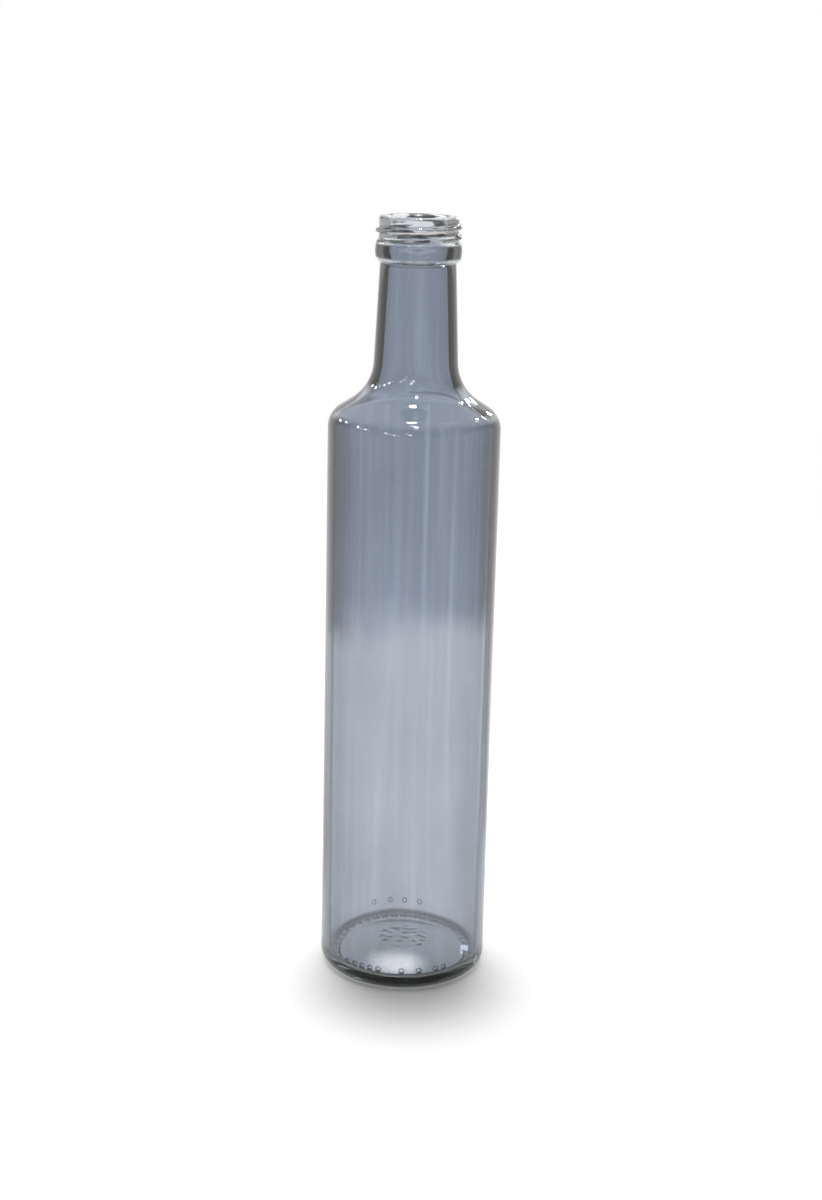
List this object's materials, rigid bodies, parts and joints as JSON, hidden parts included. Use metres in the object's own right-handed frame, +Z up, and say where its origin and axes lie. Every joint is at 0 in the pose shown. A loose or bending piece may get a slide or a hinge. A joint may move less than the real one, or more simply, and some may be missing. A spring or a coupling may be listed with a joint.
{
  "type": "glass bottle",
  "caption": "Empty tall cylindrical bottle of clear glass with a rounded shoulder, tapered neck and screw finish, for oil, vinegar or drinks.",
  "frame": {"origin": "centre of the base, on the surface the bottle stands on", "axes": "+Z up along the bottle's axis, out through the mouth; the thread's upper end fades at the right, +X, and -Y is the side seen in the main view"},
  "size_m": [0.061, 0.061, 0.2755],
  "materials": {
    "glass": "clear polished glass with a faint cool grey cast"
  },
  "bodies": {
    "root": {"bottle": "glass"}
  },
  "joints": []
}
